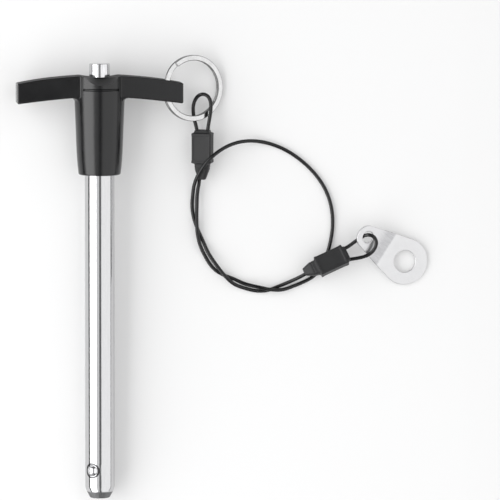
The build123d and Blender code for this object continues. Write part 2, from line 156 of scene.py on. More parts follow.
LOBES, LOBE_DEPTH, LAY_LENGTH, AROUND = 7, 0.020, 11.0, 28
verts, faces = [], []
tangent = (line[1] - line[0]).normalized()
side = tangent.cross(Vector((0, 0, 1))).normalized()
travelled = 0.0
for i, p in enumerate(line):
    t_next = (line[min(i + 1, len(line) - 1)] - line[max(i - 1, 0)]).normalized()
    side = (tangent.rotation_difference(t_next) @ side).normalized()
    tangent = t_next
    side = (side - tangent * side.dot(tangent)).normalized()
    other = tangent.cross(side)
    if i:
        travelled += steps[i - 1] / MM
    for k in range(AROUND):
        a = 2 * math.pi * k / AROUND
        twist = 2 * math.pi * travelled / LAY_LENGTH
        r = CABLE_R - LOBE_DEPTH * (0.5 - 0.5 * math.cos(LOBES * (a - twist)))
        verts.append(p + (side * math.cos(a) + other * math.sin(a)) * r * MM)
for i in range(len(line) - 1):
    for k in range(AROUND):
        n = (k + 1) % AROUND
        faces.append((i * AROUND + k, i * AROUND + n, (i + 1) * AROUND + n, (i + 1) * AROUND + k))
faces.append(tuple(reversed(range(AROUND))))
faces.append(tuple(range((len(line) - 1) * AROUND, len(line) * AROUND)))
cable = new_mesh("lanyard_cable_jacket", verts, faces, sharp=60)
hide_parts("lanyard_cable")
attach(cable, "lanyard")

# ---- crimp covers ------------------------------------------------------------
UPPER = ((44.80, 10.85, 5.0), (0.9405, -0.0210, 0.3393), (-0.3391, -0.0719, 0.9380))
LOWER = ((100.55, -38.35, 5.95), (0.3880, -0.8690, 0.3075), (-0.1450, 0.2750, 0.9505))
# where the points lie on a side of a section, from its corner (0) to its middle (1):
# close together where a wide face has its panel's edge, and a narrow one its parting line
WIDE_SIDE = (0.0, 0.04, 0.075, 0.10, 0.125, 0.15, 0.18, 0.30, 0.52, 0.76)
THIN_SIDE = (0.0, 0.25, 0.55, 0.80, 0.91, 0.955)
CORNER = 8


def plane_matrix(origin, x_dir, z_dir):
    z = Vector(z_dir).normalized()
    x = Vector(x_dir)
    x = (x - z * x.dot(z)).normalized()
    y = z.cross(x)
    m = Matrix((x, y, z)).transposed().to_4x4()
    return Matrix.Translation((Vector(origin) + Vector(SHIFT)) * MM) @ m @ Matrix.Scale(MM, 4)


def rounded_section(w, t, r):
    """Points of a rounded rectangle, w across X and t across Z, the same number on every section."""
    hw, ht = w / 2, t / 2
    r = min(r, hw * 0.98, ht * 0.98)
    out = []
    for half, length, at, d, centre, start in (
            (THIN_SIDE, 2 * (ht - r), (hw, -(ht - r)), (0, 1), (hw - r, ht - r), 0),
            (WIDE_SIDE, 2 * (hw - r), (hw - r, ht), (-1, 0), (-(hw - r), ht - r), 90),
            (THIN_SIDE, 2 * (ht - r), (-hw, ht - r), (0, -1), (-(hw - r), -(ht - r)), 180),
            (WIDE_SIDE, 2 * (hw - r), (-(hw - r), -ht), (1, 0), (hw - r, -(ht - r)), 270)):
        for f in [h / 2 for h in half] + [0.5] + [1 - h / 2 for h in reversed(half[1:])]:
            out.append((at[0] + d[0] * length * f, at[1] + d[1] * length * f))
        for i in range(CORNER):
            a = math.radians(start + 90 * i / CORNER)
            out.append((centre[0] + r * math.cos(a), centre[1] + r * math.sin(a)))
    return out


def smooth_step(v):
    v = min(1.0, max(0.0, v))
    return v * v * (3 - 2 * v)


def panel(x, y, half_w, half_l, r):
    """How deep a point lies inside a rounded rectangle, below zero outside it."""
    qx, qy = abs(x) - (half_w - r), abs(y) - (half_l - r)
    return r - math.hypot(max(qx, 0), max(qy, 0)) - min(max(qx, qy), 0)


def cover_mesh(name, at, node, tail_end, tail_x):
    # station along the cover: y, width, thickness, corner radius
    loop_end = [(7.80, 5.2, 3.2, 0.9), (7.79, 5.75, 3.75, 1.0), (7.73, 6.15, 4.15, 1.0), (7.60, 6.42, 4.42, 1.0),
                (7.40, 6.56, 4.58, 1.0), (7.15, 6.66, 4.74, 0.95), (6.95, 6.74, 4.88, 0.92), (6.80, 6.86, 5.02, 0.88),
                (6.70, 7.05, 5.20, 0.84), (6.63, 7.35, 5.42, 0.78), (6.57, 7.72, 5.68, 0.70), (6.52, 8.05, 5.90, 0.62),
                (6.46, 8.32, 6.09, 0.56), (6.37, 8.49, 6.21, 0.52), (6.25, 8.58, 6.28, 0.50)]
    half_block = [(6.05, 8.60, 6.30), (5.85, 8.60, 6.30), (5.72, 8.59, 6.29), (5.62, 8.57, 6.27), (5.54, 8.55, 6.25),
                  (5.46, 8.53, 6.23), (5.38, 8.51, 6.21), (5.28, 8.49, 6.19), (5.10, 8.46, 6.16), (4.85, 8.43, 6.13),
                  (4.45, 8.41, 6.11), (3.6, 8.39, 6.09), (1.9, 8.38, 6.08)]
    block = [(y, w, t, 0.5) for y, w, t in half_block] + [(0.0, 8.38, 6.08, 0.5)]
    block += [(-y, w, t, 0.5) for y, w, t in reversed(half_block)]
    tail = [(-6.25, 8.58, 6.28, 0.50), (-6.36, 8.46, 6.16, 0.54), (-6.44, 8.18, 5.90, 0.60), (-6.50, 7.80, 5.58, 0.72),
            (-6.56, 7.45, 5.32, 0.85), (-6.64, 7.12, 5.08, 0.98), (-6.76, 6.84, 4.90, 1.08), (-6.92, 6.62, 4.77, 1.15),
            (-7.15, 6.46, 4.69, 1.2), (-7.45, 6.38, 4.65, 1.2), (-7.90, 6.33, 4.62, 1.2), (-8.20, 6.30, 4.60, 1.2),
            (-8.30, 6.26, 4.56, 1.2), (-8.37, 6.14, 4.44, 1.15), (-8.43, 6.04, 4.34, 1.1), (-8.62, 6.02, 4.32, 1.1),
            (-8.68, 6.10, 4.40, 1.12), (-8.76, 6.17, 4.47, 1.15), (-9.00, 6.10, 4.42, 1.15)]
    # the tapered part, by how far it is to the end
    for f, w, t, r in ((0.1, 5.92, 4.30, 1.15), (0.25, 5.48, 4.00, 1.12), (0.4, 5.02, 3.70, 1.08), (0.55, 4.55, 3.40, 1.02),
                       (0.7, 4.08, 3.10, 0.96), (0.82, 3.72, 2.88, 0.92), (0.91, 3.44, 2.72, 0.88), (0.955, 3.26, 2.60, 0.84),
                       (0.982, 3.05, 2.42, 0.78), (0.995, 2.75, 2.15, 0.68), (1.0, 2.35, 1.75, 0.55)):
        tail.append((-9.0 + (tail_end + 9.0) * f, w, t, r))
    stations = loop_end + block + tail
    verts, faces = [], []
    for y, w, t, r in stations:
        bend = min(1.0, max(0.0, (-6.3 - y) / (-6.3 - tail_end)))
        cx, cz = tail_x * bend, -0.45 * bend ** 1.4
        for x, z in rounded_section(w, t, r):
            # a shallow panel in each wide face, with rounded corners
            sink = 0.0
            if abs(z) > t / 2 - 0.02 and abs(y) < 6:
                sink = 0.11 * smooth_step(panel(x, y, 3.42, 5.55, 0.9) / 0.24)
            zz = z - math.copysign(sink, z)
            # parting line round the sides
            xx = x - math.copysign(0.07, x) if abs(z) < 1e-6 else x
            verts.append((xx + cx, y, zz + cz))
    rings, n = len(stations), len(rounded_section(5, 3, 1))
    for i in range(rings - 1):
        for k in range(n):
            m = (k + 1) % n
            faces.append((i * n + k, (i + 1) * n + k, (i + 1) * n + m, i * n + m))
    for first, y in ((0, 7.80), ((rings - 1) * n, tail_end)):
        ring = verts[first:first + n]
        cx = sum(v[0] for v in ring) / n
        cz = sum(v[2] for v in ring) / n
        inner = len(verts)
        for v in ring:
            verts.append((cx + (v[0] - cx) * 0.6, v[1] - math.copysign(0.02, y), cz + (v[2] - cz) * 0.6))
        mid = len(verts)
        verts.append((cx, y - math.copysign(0.03, y), cz))
        for k in range(n):
            m = (k + 1) % n
            faces.append((first + k, first + m, inner + m, inner + k))
            faces.append((inner + k, inner + m, mid))
    matrix = plane_matrix(*at)
    ob = new_mesh(name, [matrix @ Vector(v) for v in verts], faces, sharp=70)
    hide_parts(node)
    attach(ob, "lanyard")
    return ob


cover_upper = cover_mesh("cover_at_ring", UPPER, "sleeve_cover_upper", -13.75, -0.3)
cover_lower = cover_mesh("cover_at_tab", LOWER, "sleeve_cover_lower", -12.75, -0.7)

# ---- anchor tab: punched and bent sheet ----------------------------------------
# the sheet's middle, laid flat
TAB_T, BIG_R, SMALL_R, SPAN = 1.0, 10.15, 5.15, 21.15
BIG_HOLE, SMALL_HOLE, BEND_X = 4.85, 2.55, -9.134
BEND, TILT, HEADING = math.radians(15.0), math.radians(7.0), math.radians(-33.0)
TAB_HOLE_AT = Vector((106.82, 16.17, 7.3545)) * MM
EDGE_X = -(BIG_R - SMALL_R) / SPAN          # direction square to the straight edges
EDGE_Y = math.sqrt(1 - EDGE_X ** 2)


def tab_outline(inset, big=110, small=64, straight=40):
    """The rim of the two round ends and the straight edges between them, moved inwards."""
    rb, rs = BIG_R - inset, SMALL_R - inset
    a0 = math.atan2(EDGE_Y, EDGE_X)
    start, end = (rb * EDGE_X, rb * EDGE_Y), (-SPAN + rs * EDGE_X, rs * EDGE_Y)
    pts = [(rb * math.cos(a), rb * math.sin(a)) for a in np.linspace(-a0, a0, big)]
    pts += [(start[0] + (end[0] - start[0]) * f, start[1] + (end[1] - start[1]) * f)
            for f in np.linspace(0, 1, straight)[1:-1]]
    pts += [(-SPAN + rs * math.cos(a), rs * math.sin(a)) for a in np.linspace(a0, 2 * math.pi - a0, small)]
    pts += [(end[0] + (start[0] - end[0]) * f, -end[1] - (start[1] - end[1]) * f)
            for f in np.linspace(0, 1, straight)[1:-1]]
    return pts


def circle(cx, r, n):
    return [(cx + r * math.cos(2 * math.pi * k / n), r * math.sin(2 * math.pi * k / n)) for k in range(n)]


def bent(x, y, z):
    """A flat point of the sheet after its bend, which rolls over a short arc."""
    half = 1.6
    s = x - BEND_X
    mid = z - TAB_T / 2
    radius = 2 * half / BEND
    if s >= half * 0.999:
        px, pz, ang = s, 0.0, 0.0
    elif s <= -half * 0.999:
        px, pz, ang = None, None, BEND
    else:
        ang = (half - s) / (2 * half) * BEND
    if 0 < ang < BEND:
        px = half - radius * math.sin(ang)
        pz = radius * (1 - math.cos(ang))
    elif ang == BEND:
        ex = half - radius * math.sin(BEND)
        ez = radius * (1 - math.cos(BEND))
        rest = -half - s
        px = ex - rest * math.cos(BEND)
        pz = ez + rest * math.sin(BEND)
    return (BEND_X + px + mid * math.sin(ang), y, TAB_T / 2 + pz + mid * math.cos(ang))


# the rim profile, from the flat top over the rolled edge and down the punched wall
rim = [(0.62, 1.0), (0.42, 1.0), (0.26, 0.995), (0.14, 0.97), (0.06, 0.915), (0.015, 0.83), (0.0, 0.72), (0.0, 0.45), (0.0, 0.18),
       (0.02, 0.07), (0.07, 0.015), (0.16, 0.0), (0.36, 0.0)]
verts, faces = [], []
loops = {"out": [], "big": [], "small": []}
for inset, z in rim:
    for key, pts in (("out", tab_outline(inset)), ("big", circle(0, BIG_HOLE + inset, 120)),
                     ("small", circle(-SPAN, SMALL_HOLE + inset, 72))):
        start = len(verts)
        verts += [(x, y, z * TAB_T) for x, y in pts]
        loops[key].append((start, len(pts)))
for key, rows in loops.items():
    for (a, n), (b, _) in zip(rows, rows[1:]):
        for k in range(n):
            m = (k + 1) % n
            faces.append((a + k, a + m, b + m, b + k) if key == "out" else (a + m, a + k, b + k, b + m))


def inside(x, y, inset):
    """Whether a point of the flat sheet is this far inside its rim and its holes."""
    along = -x * EDGE_Y + abs(y) * EDGE_X
    if along < 0:
        beyond = math.hypot(x, y) - BIG_R
    elif along > SPAN * EDGE_Y:
        beyond = math.hypot(x + SPAN, y) - SMALL_R
    else:
        beyond = x * EDGE_X + abs(y) * EDGE_Y - BIG_R
    return beyond < -inset and math.hypot(x, y) > BIG_HOLE + inset and math.hypot(x + SPAN, y) > SMALL_HOLE + inset


grid = []
for i in range(-34, 14):
    x = i * 0.8 + (0.0)
    for k in range(-14, 15):
        y = k * 0.8 + (0.4 if i % 2 else 0.0)
        if inside(x, y, 0.95) and abs(x - BEND_X) > 2.1:
            grid.append((x, y))
for i in range(-9, 10):
    x = BEND_X + i * 0.2
    for k in range(-14, 15):
        y = k * 0.7
        if inside(x, y, 0.8):
            grid.append((x, y))
for level in (0, len(rim) - 1):
    keys = ("out", "big", "small")
    pts, index, edges = [], [], []
    for key in keys:
        a, n = loops[key][level]
        base = len(pts)
        pts += [Vector(verts[a + k][:2]) for k in range(n)]
        index += [a + k for k in range(n)]
        edges += [(base + k, base + (k + 1) % n) for k in range(n)]
    for x, y in grid:
        index.append(len(verts))
        verts.append((x, y, rim[level][1] * TAB_T))
        pts.append(Vector((x, y)))
    vout, _, fout, orig, _, _ = delaunay_2d_cdt(pts, edges, [], 0, 1e-6)
    for f in fout:
        cx = sum(vout[v][0] for v in f) / len(f)
        cy = sum(vout[v][1] for v in f) / len(f)
        if not inside(cx, cy, rim[level][0] + 0.003):
            continue
        ids = [index[orig[v][0]] for v in f]
        faces.append(tuple(ids) if level == 0 else tuple(reversed(ids)))
turn = Matrix.Rotation(HEADING, 4, "Z") @ Matrix.Rotation(TILT, 4, "Y")
hole_local = turn @ Vector(bent(-SPAN, 0, TAB_T / 2))
tab_verts = [(turn @ Vector(bent(*v)) - hole_local) * MM + TAB_HOLE_AT for v in verts]
tab = new_mesh("anchor_tab_sheet", tab_verts, faces, sharp=40)
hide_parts("anchor_tab")
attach(tab, "tab")


# ---- materials ---------------------------------------------------------------
class Shader:
    """A principled material whose detail comes from nodes added here."""

    def __init__(self, name, color, metallic, roughness, **sockets):
        self.mat = bpy.data.materials.new(name)
        self.mat.use_nodes = True
        self.nt = self.mat.node_tree
        self.nt.nodes.clear()
        out = self.nt.nodes.new("ShaderNodeOutputMaterial")
        self.bsdf = self.nt.nodes.new("ShaderNodeBsdfPrincipled")
        self.nt.links.new(self.bsdf.outputs[0], out.inputs[0])
        self.bsdf.inputs["Base Color"].default_value = (*color, 1)
        self.bsdf.inputs["Metallic"].default_value = metallic
        self.bsdf.inputs["Roughness"].default_value = roughness
        for k, v in sockets.items():
            self.bsdf.inputs[k.replace("_", " ")].default_value = v
        self.coords = self.nt.nodes.new("ShaderNodeTexCoord").outputs["Object"]

    def put(self, socket, value):
        if isinstance(value, bpy.types.NodeSocket):
            self.nt.links.new(value, socket)
        else:
            socket.default_value = value

    def node(self, kind, outputs=0, **inputs):
        n = self.nt.nodes.new(kind)
        for k, v in inputs.items():
            self.put(n.inputs[int(k[1:]) if k[0] == "i" and k[1:].isdigit() else k.replace("_", " ")], v)
        return n

    def mapping(self, vector, loc=(0, 0, 0), rot=(0, 0, 0), scale=(1, 1, 1)):
        n = self.node("ShaderNodeMapping", Vector=vector)
        n.inputs["Location"].default_value = loc
        n.inputs["Rotation"].default_value = rot
        n.inputs["Scale"].default_value = scale
        return n.outputs[0]

    def noise(self, vector, scale, detail=4.0, rough=0.55, distortion=0.0, color=False):
        n = self.node("ShaderNodeTexNoise", Vector=vector, Scale=scale, Detail=detail, Roughness=rough,
                      Distortion=distortion)
        return n.outputs["Color" if color else "Fac"]

    def voronoi(self, vector, scale, feature="F1"):
        n = self.node("ShaderNodeTexVoronoi", Vector=vector, Scale=scale)
        n.feature = feature
        return n.outputs["Distance"]

    def math(self, op, a, b=0.0, c=None, clamp=False):
        n = self.nt.nodes.new("ShaderNodeMath")
        n.operation = op
        n.use_clamp = clamp
        self.put(n.inputs[0], a)
        self.put(n.inputs[1], b)
        if c is not None:
            self.put(n.inputs[2], c)
        return n.outputs[0]

    def span(self, value, a, b, c, d, smooth=False):
        n = self.node("ShaderNodeMapRange", Value=value)
        n.interpolation_type = "SMOOTHSTEP" if smooth else "LINEAR"
        n.clamp = True
        for k, v in (("From Min", a), ("From Max", b), ("To Min", c), ("To Max", d)):
            n.inputs[k].default_value = v
        return n.outputs["Result"]

    def ramp(self, fac, stops):
        n = self.node("ShaderNodeValToRGB", Fac=fac)
        els = n.color_ramp.elements
        while len(els) < len(stops):
            els.new(0.5)
        for e, (pos, col) in zip(els, stops):
            e.position = pos
            e.color = (*col, 1) if hasattr(col, "__len__") else (col, col, col, 1)
        return n.outputs["Color"]

    def mix(self, fac, a, b):
        n = self.nt.nodes.new("ShaderNodeMix")
        n.data_type = "RGBA"
        self.put(n.inputs["Factor"], fac)
        for i, v in ((6, a), (7, b)):
            self.put(n.inputs[i], (*v, 1) if not isinstance(v, bpy.types.NodeSocket) else v)
        return n.outputs[2]

    def split(self, vector):
        return self.node("ShaderNodeSeparateXYZ", Vector=vector).outputs

    def join(self, x=0.0, y=0.0, z=0.0):
        return self.node("ShaderNodeCombineXYZ", X=x, Y=y, Z=z).outputs[0]

    def bump(self, height, strength, distance, normal=None):
        n = self.node("ShaderNodeBump", Height=height, Strength=strength, Distance=distance)
        if normal is not None:
            self.put(n.inputs["Normal"], normal)
        return n.outputs[0]

    def color(self, value):
        self.put(self.bsdf.inputs["Base Color"], value)

    def roughness(self, value):
        self.put(self.bsdf.inputs["Roughness"], value)

    def normal(self, value):
        self.put(self.bsdf.inputs["Normal"], value)


PITCH = math.radians(1.4901)
BALL_AZ = math.radians(37.092)
PIN_AT = Vector((-9.30, 44.22, 9.8387))
PIN_ROT = Matrix.Rotation(PITCH - math.pi / 2, 3, "X")

# ---- return spring: one coil of fixed length -----------------------------------
COIL_R, COIL_WIRE, COIL_TURNS, COIL_LOW, COIL_HIGH, PRESS = 4.25, 0.45, 5.5, 24.47, 35.13, 3.8
verts, faces = [], []
parts, around = 290, 18
for i in range(parts + 1):
    a = 2 * math.pi * COIL_TURNS * i / parts
    outward = Vector((math.cos(a), math.sin(a), 0))
    along = Vector((-math.sin(a) * COIL_R, math.cos(a) * COIL_R, (COIL_HIGH - COIL_LOW) / (2 * math.pi * COIL_TURNS))).normalized()
    across = along.cross(outward)
    centre = outward * COIL_R + Vector((0, 0, COIL_LOW + (COIL_HIGH - COIL_LOW) * i / parts))
    for k in range(around):
        b = 2 * math.pi * k / around
        q = centre + (outward * math.cos(b) + across * math.sin(b)) * COIL_WIRE
        verts.append((PIN_AT + PIN_ROT @ q) * MM)
for i in range(parts):
    for k in range(around):
        n = (k + 1) % around
        faces.append((i * around + k, i * around + n, (i + 1) * around + n, (i + 1) * around + k))
faces.append(tuple(reversed(range(around))))
faces.append(tuple(range(parts * around, (parts + 1) * around)))
coil = new_mesh("return_spring_coil", verts, faces, sharp=60)
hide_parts("return_spring")
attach(coil, "pin")
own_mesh(coil)


def local_mm(sh, origin, rot):
    """Millimetres in a frame given by its origin, in mm, and its rotation matrix."""
    inv = rot.transposed()
    return sh.mapping(sh.coords, loc=tuple(-(inv @ Vector(origin))), rot=tuple(inv.to_euler("XYZ")),
                      scale=(1000, 1000, 1000))


def pin_mm(sh):
    return local_mm(sh, PIN_AT, PIN_ROT)


# moulded handle: fine spark-eroded skin, faint flow and gloss variation
h = Shader("handle_plastic", (0.0032, 0.0032, 0.0035), 0.0, 0.21, IOR=1.48)
v = pin_mm(h)
grain = h.noise(v, 5.5, 2.0, 0.6)
pits = h.voronoi(v, 3.2)
cloud = h.noise(v, 0.16, 4.0, 0.6, 0.4)
spots = h.noise(v, 1.1, 3.0, 0.6)
h.color(h.mix(h.span(cloud, 0.3, 0.7, 0, 1), (0.0026, 0.0026, 0.0030), (0.0041, 0.0042, 0.0046)))
# the faces round the button come from the textured end of the mould
facing = h.split(h.node("ShaderNodeNewGeometry").outputs["Normal"])[1]
gloss = h.math("ADD", h.span(cloud, 0.3, 0.7, 0.19, 0.24), h.span(spots, 0.35, 0.7, -0.012, 0.02))
h.roughness(h.math("ADD", gloss, h.span(facing, 0.75, 0.95, 0.0, 0.42, True)))
skin = h.bump(grain, 0.22, 0.00005)
h.normal(h.bump(pits, 0.12, 0.00005, skin))

# ground shank: very fine circumferential lines, handling marks, matt radial bevel darkened with painted shade
s = Shader("shank_steel", (0.56, 0.56, 0.568), 1.0, 0.16)
v = pin_mm(s)
x, y, z = s.split(v)
ang = s.math("ARCTAN2", y, x)
rad = s.math("SQRT", s.math("ADD", s.math("MULTIPLY", x, x), s.math("MULTIPLY", y, y)))
lines = s.noise(s.join(s.math("MULTIPLY", ang, 0.5), 0.0, s.math("MULTIPLY", z, 9.0)), 1.0, 3.0, 0.7)
bands = s.noise(s.join(s.math("MULTIPLY", ang, 0.25), 0.0, s.math("MULTIPLY", z, 0.22)), 1.0, 3.0, 0.6)
marks = s.noise(s.join(s.math("MULTIPLY", ang, 9.0), 3.0, s.math("MULTIPLY", z, 0.12)), 1.0, 3.0, 0.7)
radial = s.noise(s.join(s.math("MULTIPLY", ang, 22.0), 0.0, s.math("MULTIPLY", rad, 0.7)), 1.0, 4.0, 0.7)
bevel = s.span(z, -136.7, -136.1, 1.0, 0.0, True)
steel = s.mix(s.span(marks, 0.3, 0.7, 0, 1), (0.575, 0.575, 0.583), (0.545, 0.545, 0.553))
# painted shade: the bevel's steel drops to 0.12–0.24, streaked by its real radial grinding marks
steel = s.mix(bevel, steel, s.mix(s.span(radial, 0.3, 0.7, 0, 1), (0.115, 0.115, 0.118), (0.235, 0.235, 0.238)))
# the two staked mouths: painted shade darkens the groove round the upset lip and the pocket under the ball
lat = s.math("SUBTRACT", s.math("MULTIPLY", x, math.cos(BALL_AZ)), s.math("MULTIPLY", y, math.sin(BALL_AZ)))
dz = s.math("ADD", z, 127.0)
mouth = s.math("SQRT", s.math("ADD", s.math("MULTIPLY", lat, lat), s.math("MULTIPLY", dz, dz)))
ragged_edge_noise = s.noise(s.join(lat, dz, 0.0), 2.6, 4.0, 0.7)
ragged_mouth = s.math("ADD", mouth, s.span(ragged_edge_noise, 0.3, 0.7, -0.12, 0.12))
groove_shade = s.math("MULTIPLY", s.span(ragged_mouth, 2.50, 2.64, 0, 1, True), s.span(ragged_mouth, 3.22, 3.42, 1, 0, True))
pocket_shade = s.span(mouth, 2.30, 2.46, 1, 0, True)
# painted shade in the groove round the lip and in the pocket under the ball
steel = s.mix(s.math("MULTIPLY", groove_shade, 0.94), steel, (0.05, 0.05, 0.052))
steel = s.mix(s.math("MULTIPLY", pocket_shade, 0.92), steel, (0.045, 0.045, 0.046))
s.color(steel)
rough = s.math("ADD", s.span(bands, 0.3, 0.7, 0.085, 0.125), s.span(marks, 0.55, 0.85, 0.0, 0.06))
rough = s.math("ADD", rough, s.math("MULTIPLY", bevel, s.span(radial, 0.3, 0.7, 0.30, 0.44)))
s.roughness(rough)
n1 = s.bump(lines, 0.16, 0.00002)
s.normal(s.bump(s.math("MULTIPLY", radial, bevel), 0.35, 0.00008, n1))


def turned_steel(name, base, rough, streak, bump_strength=0.2):
    m = Shader(name, base, 1.0, rough)
    v = pin_mm(m)
    x, y, z = m.split(v)
    ang = m.math("ARCTAN2", y, x)
    r2 = m.math("SQRT", m.math("ADD", m.math("MULTIPLY", x, x), m.math("MULTIPLY", y, y)))
    ridges = m.noise(m.join(m.math("MULTIPLY", r2, 14.0), 0.0, m.math("MULTIPLY", z, 14.0)), 1.0, 2.0, 0.6)
    along = m.noise(m.join(m.math("MULTIPLY", ang, 7.0), 1.0, m.math("MULTIPLY", z, 0.15)), 1.0, 3.0, 0.65)
    m.roughness(m.math("ADD", m.span(along, 0.3, 0.75, rough - 0.03, rough + streak), m.span(ridges, 0.4, 0.8, 0.0, 0.03)))
    dark = tuple(c * 0.72 for c in base)
    m.color(m.mix(m.span(along, 0.35, 0.75, 0.0, 1.0), base, dark))
    m.normal(m.bump(ridges, bump_strength, 0.00002))
    return m


button_m = turned_steel("button_steel", (0.70, 0.70, 0.712), 0.08, 0.06)
rod_m = turned_steel("rod_steel", (0.56, 0.56, 0.575), 0.22, 0.08)


def polished(name, base, rough, scale=0.9):
    """Bright metal with hairline scratches that run every way and faint haze."""
    m = Shader(name, base, 1.0, rough)
    v = m.mapping(m.coords, scale=(1000, 1000, 1000))
    haze = m.noise(v, 0.35 * scale, 4.0, 0.6, 0.3)
    a = m.noise(m.mapping(v, rot=(0.3, 0.9, 0.4), scale=(6, 0.25, 6)), 1.0, 2.0, 0.5)
    b = m.noise(m.mapping(v, rot=(1.2, 0.2, 1.7), scale=(7, 7, 0.3)), 1.0, 2.0, 0.5)
    scratch = m.math("MAXIMUM", m.span(a, 0.66, 0.74, 0, 1), m.span(b, 0.67, 0.75, 0, 1))
    m.roughness(m.math("ADD", m.span(haze, 0.3, 0.7, rough - 0.03, rough + 0.04), m.math("MULTIPLY", scratch, 0.12)))
    m.color(m.mix(m.math("MULTIPLY", scratch, 0.5), base, tuple(c * 0.7 for c in base)))
    m.normal(m.bump(scratch, 0.12, 0.00001))
    return m


ball_m = polished("ball_steel", (0.72, 0.72, 0.735), 0.07)

# nickelled ring wire: drawn lines that follow the turn, with painted shade on its walls, along its edges and between
# its coils
SLOPE = math.radians(21.5)
ring_rot = PIN_ROT @ Matrix(((math.cos(SLOPE), math.sin(SLOPE), 0), (0, 0, 1), (math.sin(SLOPE), -math.cos(SLOPE), 0))).transposed()
ring_at = PIN_AT + PIN_ROT @ Vector((28.7 + 12.67 * math.cos(SLOPE), 12.67 * math.sin(SLOPE), 36.5))
r = Shader("ring_steel", (0.64, 0.637, 0.625), 1.0, 0.12)
v = local_mm(r, ring_at, ring_rot)
x, y, z = r.split(v)
ang = r.math("ARCTAN2", y, x)
rad = r.math("SQRT", r.math("ADD", r.math("MULTIPLY", x, x), r.math("MULTIPLY", y, y)))
drawn = r.noise(r.join(r.math("MULTIPLY", ang, 1.2), r.math("MULTIPLY", rad, 9.0), r.math("MULTIPLY", z, 9.0)), 1.0, 3.0, 0.6)
haze = r.noise(v, 0.5, 4.0, 0.6, 0.3)
high = r.math("ABSOLUTE", z)
rim_zone = r.span(high, 0.70, 0.80, 0, 1)
# painted shade along the rounded inner and outer edges of the wire's faces
inner_edge_shade = r.math("MULTIPLY", rim_zone, r.span(rad, 12.04, 12.26, 1, 0, True))
outer_edge_shade = r.math("MULTIPLY", rim_zone, r.span(rad, 13.80, 14.02, 0, 1, True))
# painted shade on the wire's inner and outer walls
wall_shade = r.math("MAXIMUM", r.span(rad, 11.88, 11.96, 1, 0), r.span(rad, 14.08, 14.16, 0, 1))
# painted shade in the thin gap between the two coils
coil_gap_shade = r.math("MULTIPLY", r.span(high, 0.08, 0.20, 1, 0, True), r.math("MAXIMUM", r.span(rad, 12.0, 12.2, 1, 0), r.span(rad, 13.85, 14.05, 0, 1)))
nickel = r.mix(r.span(haze, 0.35, 0.75, 0, 1), (0.60, 0.60, 0.60), (0.50, 0.50, 0.50))
# painted shade on the walls, streaked by the real drawn lines
nickel = r.mix(r.math("MULTIPLY", wall_shade, 0.8), nickel, r.mix(r.span(drawn, 0.35, 0.65, 0, 1), (0.14, 0.14, 0.14), (0.30, 0.30, 0.30)))
# painted shade along the edges
nickel = r.mix(r.math("MULTIPLY", inner_edge_shade, 0.85), nickel, (0.07, 0.07, 0.07))
nickel = r.mix(r.math("MULTIPLY", outer_edge_shade, 0.65), nickel, (0.14, 0.14, 0.14))
# painted shade between the coils
r.color(r.mix(r.math("MULTIPLY", coil_gap_shade, 0.9), nickel, (0.03, 0.03, 0.03)))
r.roughness(r.math("ADD", r.span(haze, 0.3, 0.7, 0.08, 0.15), r.span(drawn, 0.5, 0.8, 0.0, 0.07)))
r.normal(r.bump(drawn, 0.14, 0.00002))

spring_m = polished("spring_steel", (0.5, 0.5, 0.5), 0.24)
ferrule_m = polished("ferrule_metal", (0.66, 0.66, 0.68), 0.3)

# cable jacket: extruded, glossy, with the rope's faint lay under it
c = Shader("cable_jacket", (0.0028, 0.0028, 0.0031), 0.0, 0.16, IOR=1.41)
v = c.mapping(c.coords, scale=(1000, 1000, 1000))
film = c.noise(v, 0.45, 4.0, 0.6, 0.2)
dust = c.noise(v, 3.8, 3.0, 0.6)
c.color(c.mix(c.span(film, 0.35, 0.75, 0, 1), (0.0020, 0.0020, 0.0023), (0.0038, 0.0038, 0.0042)))
c.roughness(c.math("ADD", c.span(film, 0.3, 0.7, 0.11, 0.18), c.span(dust, 0.5, 0.8, 0.0, 0.07)))
c.normal(c.bump(dust, 0.10, 0.00004))

# cover plastic: satin, fine grain
p = Shader("cover_plastic", (0.008, 0.008, 0.0085), 0.0, 0.5, IOR=1.42)
v = p.mapping(p.coords, scale=(1000, 1000, 1000))
grain = p.noise(v, 6.5, 2.0, 0.6)
cloud = p.noise(v, 0.35, 4.0, 0.6, 0.3)
p.color(p.mix(p.span(cloud, 0.3, 0.7, 0, 1), (0.0064, 0.0065, 0.0070), (0.0096, 0.0097, 0.0103)))
p.roughness(p.math("ADD", p.span(cloud, 0.3, 0.7, 0.46, 0.54), p.span(grain, 0.4, 0.7, -0.02, 0.03)))
p.normal(p.bump(grain, 0.28, 0.00007))

# tab sheet: bright rolled steel, brushed along its length, with dark streaks near the bend that painted shade deepens
# towards the fold
tab_rot = Matrix.Rotation(HEADING, 3, "Z") @ Matrix.Rotation(TILT, 3, "Y")
tab_at = (TAB_HOLE_AT / MM) - tab_rot @ Vector(bent(-SPAN, 0, TAB_T / 2))
t = Shader("tab_steel", (0.62, 0.62, 0.625), 1.0, 0.38)
v = local_mm(t, tab_at, tab_rot)
x, y, z = t.split(v)
brush = t.noise(t.mapping(v, scale=(0.35, 9.0, 2.0)), 1.0, 4.0, 0.65)
cross = t.noise(t.mapping(v, rot=(0, 0, 0.5), scale=(7.0, 0.3, 2.0)), 1.0, 3.0, 0.6)
blotch = t.noise(v, 0.22, 4.0, 0.6, 0.3)
# the folded end keeps the mill's streaks, which stop at the fold; painted shade makes them darker towards the fold
small = t.span(t.math("ADD", x, t.span(brush, 0.3, 0.7, -0.5, 0.5)), -10.4, -9.5, 1.0, 0.0, True)
streak = t.noise(t.mapping(v, rot=(0, 0, 0.12), scale=(0.22, 3.2, 1.0)), 1.0, 5.0, 0.7)
